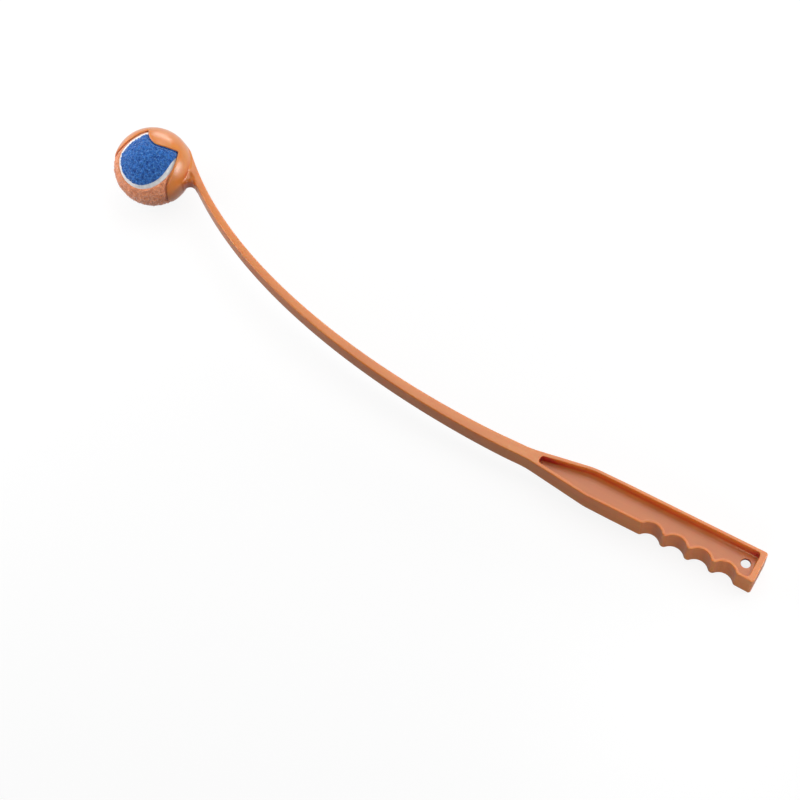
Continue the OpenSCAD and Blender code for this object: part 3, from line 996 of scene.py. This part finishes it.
def plastic_material():
    """Satin moulded plastic with faint flow streaks, scuffs, paler convex edges that are part wear and part
    painted highlight, and painted red shade on recess walls.
    """
    look = Look("orange_plastic")
    cloud = look.noise(0.012, 2)
    streak = look.noise(0.25, 4, (14, 1, 1))
    speck = look.noise(1.6, 2)
    base = look.mix(look.ramp(cloud, 0.35, 0.65, 0, 1), ORANGE, ORANGE_PALE)
    base = look.mix(look.ramp(streak, 0.45, 0.72, 0, 0.3), base, ORANGE_STREAK)
    base = look.mix(look.ramp(speck, 0.62, 0.8, 0, 0.25), base, ORANGE_SPECK)
    pointed = look.node("ShaderNodeNewGeometry").outputs["Pointiness"]
    # Convex edges are paler: part edge wear, part a painted highlight along the rounded rims
    base = look.mix(look.ramp(pointed, 0.52, 0.6, 0, 0.35), base, ORANGE_EDGE_WEAR_AND_HIGHLIGHT)
    # Painted shade: upright walls that face other walls are tinted a deeper red where they are occluded, as
    # shade in the recess
    occlusion_for_shade = look.node("ShaderNodeAmbientOcclusion", only_local=True)
    occlusion_for_shade.inputs["Distance"].default_value = 10 * MM
    facing = look.node("ShaderNodeSeparateXYZ")
    look.link(look.node("ShaderNodeTexCoord").outputs["Normal"], facing.inputs["Vector"])
    upright = look.ramp(look.math("ABSOLUTE", facing.outputs["Z"], 0), 0.35, 0.8, 1, 0)
    depth = look.ramp(occlusion_for_shade.outputs["AO"], 0.6, 0.97, 1, 0)
    base = look.mix(look.math("MULTIPLY", depth, upright), base, ORANGE_PAINTED_SHADE)
    scuff = look.noise(0.5, 5, (6, 1, 1), 0.7)
    uneven = look.ramp(speck, 0.4, 0.6, -0.02, 0.02)
    rough = look.math("ADD", look.ramp(scuff, 0.4, 0.7, 0.34, 0.46), uneven)
    grain = look.noise(2.2, 2)
    normal = look.bump(grain, 0.02, 0.5)
    normal = look.bump(scuff, 0.03, 0.25, normal)
    look.set(Base_Color=base, Roughness=rough, Normal=normal, IOR=1.5, Specular_IOR_Level=0.3)
    look.set(Coat_Weight=1.0, Coat_Roughness=0.3)
    look.set(Subsurface_Weight=0.35, Subsurface_Scale=0.004, Subsurface_Radius=(1.0, 0.25, 0.1))
    return look.mat


def felt_material(name, dark, mid, pale):
    """Wool felt: mottled tufts, a pale sheen at the rim and a fine matted grain."""
    look = Look(name)
    tuft = look.noise(0.42, 3, rough=0.65)
    grain = look.noise(1.5, 3, rough=0.7)
    speckle = look.noise(0.75, 2, rough=0.5)
    base = look.mix(look.ramp(tuft, 0.36, 0.62, 0, 1), dark, mid)
    base = look.mix(look.ramp(speckle, 0.52, 0.72, 0, 0.4), base, pale)
    base = look.mix(look.ramp(grain, 0.5, 0.72, 0, 0.42), base, pale)
    height = look.math("ADD", look.math("MULTIPLY", tuft, 0.6), look.math("MULTIPLY", grain, 0.5))
    look.set(Base_Color=base, Roughness=0.95, Normal=look.bump(height, 0.5, 0.7))
    look.set(Sheen_Weight=1.0, Sheen_Roughness=0.4, Specular_IOR_Level=0.15)
    return look.mat


def seam_material():
    """Pale rubbery cement with a faint grey cast."""
    look = Look("seam_cement")
    cloud = look.noise(0.3, 3)
    base = look.mix(look.ramp(cloud, 0.35, 0.7, 0, 1), *CEMENT)
    look.set(Base_Color=base, Roughness=0.7, Normal=look.bump(look.noise(1.2, 2), 0.06, 0.5))
    return look.mat


def rubber_material():
    """Dull grey rubber of the ball's core."""
    look = Look("core_rubber")
    speck = look.noise(1.1, 3)
    base = look.mix(look.ramp(speck, 0.4, 0.65, 0, 1), *RUBBER)
    look.set(Base_Color=base, Roughness=0.8, Normal=look.bump(speck, 0.05, 0.5))
    return look.mat


def camera():
    """Camera that looks down on the launcher from its finger side."""
    azimuth, elevation, distance = math.radians(29.48), math.radians(62), 1800 * MM
    target = Vector((-304.3 * MM, -6.5 * MM, 0))
    field = 644.8 * MM
    level = math.cos(elevation)
    back = Vector((math.sin(azimuth) * level, -math.cos(azimuth) * level, math.sin(elevation)))
    data = bpy.data.cameras.new("camera")
    data.sensor_width = 36
    data.lens = data.sensor_width * distance / field
    obj = bpy.data.objects.new("camera", data)
    obj.location = target + back * distance
    obj.rotation_euler = back.to_track_quat("Z", "Y").to_euler()
    bpy.context.scene.collection.objects.link(obj)
    bpy.context.scene.camera = obj


def area_light(name, place, aim, size, power, spread=180):
    """Soft rectangular lamp at place that shines at aim, in mm, over a beam of spread degrees."""
    data = bpy.data.lights.new(name, "AREA")
    data.shape = "RECTANGLE"
    data.size, data.size_y = (k * MM for k in size)
    data.energy = power
    data.spread = math.radians(spread)
    obj = bpy.data.objects.new(name, data)
    obj.location = Vector(place) * MM
    obj.rotation_euler = (Vector(place) - Vector(aim)).to_track_quat("Z", "Y").to_euler()
    bpy.context.scene.collection.objects.link(obj)


def studio():
    """White table that the launcher lies on, soft lamps above and behind it, and a pale world."""
    # The launcher rests on the cup's side and on the lower edge of its butt
    cup_low, butt_low = -CUP_OUT - 0.1, -HANDLE_T / 2 - 0.1
    slope = (butt_low - cup_low) / (BUTT_GAP - CUP[0])
    reach = 9000
    square = ((-reach, -reach), (reach, -reach), (reach, reach), (-reach, reach))
    corners = [(x, y, cup_low + slope * (x - CUP[0])) for x, y in square]
    mesh = bpy.data.meshes.new("table")
    mesh.from_pydata([tuple(np.array(c) * MM) for c in corners], [], [(0, 1, 2, 3)])
    table = bpy.data.objects.new("table", mesh)
    bpy.context.scene.collection.objects.link(table)
    look = Look("table")
    path = look.node("ShaderNodeLightPath")
    mirrored = look.math("MAXIMUM", path.outputs["Is Glossy Ray"], path.outputs["Is Transmission Ray"])
    # What the plastic mirrors is dim in front of the launcher and white behind it
    place = look.node("ShaderNodeSeparateXYZ")
    look.link(look.node("ShaderNodeNewGeometry").outputs["Position"], place.inputs["Vector"])
    mirrored = look.math("MULTIPLY", mirrored, look.ramp(place.outputs["Y"], 0.04, 0.12, 0.15, 0.65))
    seen = look.math("MAXIMUM", path.outputs["Is Camera Ray"], mirrored)
    look.set(Base_Color=look.mix(seen, TABLE_LIT, TABLE_SEEN), Roughness=0.9, Specular_IOR_Level=0.0)
    look.set(Emission_Color=(1, 1, 1, 1), Emission_Strength=look.math("MULTIPLY", seen, 0.86))
    mesh.materials.append(look.mat)

    world = bpy.data.worlds.new("studio")
    bpy.context.scene.world = world
    world.use_nodes = True
    tree = world.node_tree
    sky = tree.nodes["Background"]
    sky.inputs["Color"].default_value = (1, 1, 1, 1)
    # A faint fill on the object, and as pale as the table where the camera sees past it
    shown = tree.nodes.new("ShaderNodeMapRange")
    shown.inputs["To Min"].default_value = 0.2
    shown.inputs["To Max"].default_value = 0.87
    tree.links.new(tree.nodes.new("ShaderNodeLightPath").outputs["Is Camera Ray"], shown.inputs["Value"])
    tree.links.new(shown.outputs["Result"], sky.inputs["Strength"])

    area_light("key", (-150, 850, 1500), (-300, 20, 0), (2000, 1500), 20)
    area_light("back", (-920, 1500, 360), (-590, 90, 0), (900, 420), 6.8)
    area_light("right", (515, 535, 95), (-590, 90, 0), (600, 240), 6.5)
    area_light("left", (-1150, -60, 300), (-590, 70, 0), (900, 700), 4.2)
    area_light("low_left", (-830, -330, 130), (-615, 80, 0), (240, 200), 0.09, 60)
    area_light("low_right", (300, -314, 140), (-590, 80, 0), (260, 200), 0.09, 50)
    area_light("low_front", (70, -330, 180), (0, 0, 0), (200, 160), 0.06, 60)


camera()
studio()
plastic = plastic_material()
build_handle(plastic)
build_arm(plastic)
build_cup(plastic)
blue = felt_material("blue_felt", *BLUE_FELT)
orange = felt_material("orange_felt", *ORANGE_FELT)
build_felt("blue", False, 3, blue)
build_felt("orange", True, 7, orange)
build_nap("blue", False, 11, blue)
build_nap("orange", True, 12, orange)
build_seam(seam_material())
rubber = rubber_material()
for name in ("ball_core_front", "ball_core_rear"):
    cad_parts[name].data.materials.clear()
    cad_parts[name].data.materials.append(rubber)

bpy.context.scene.view_settings.view_transform = "Standard"
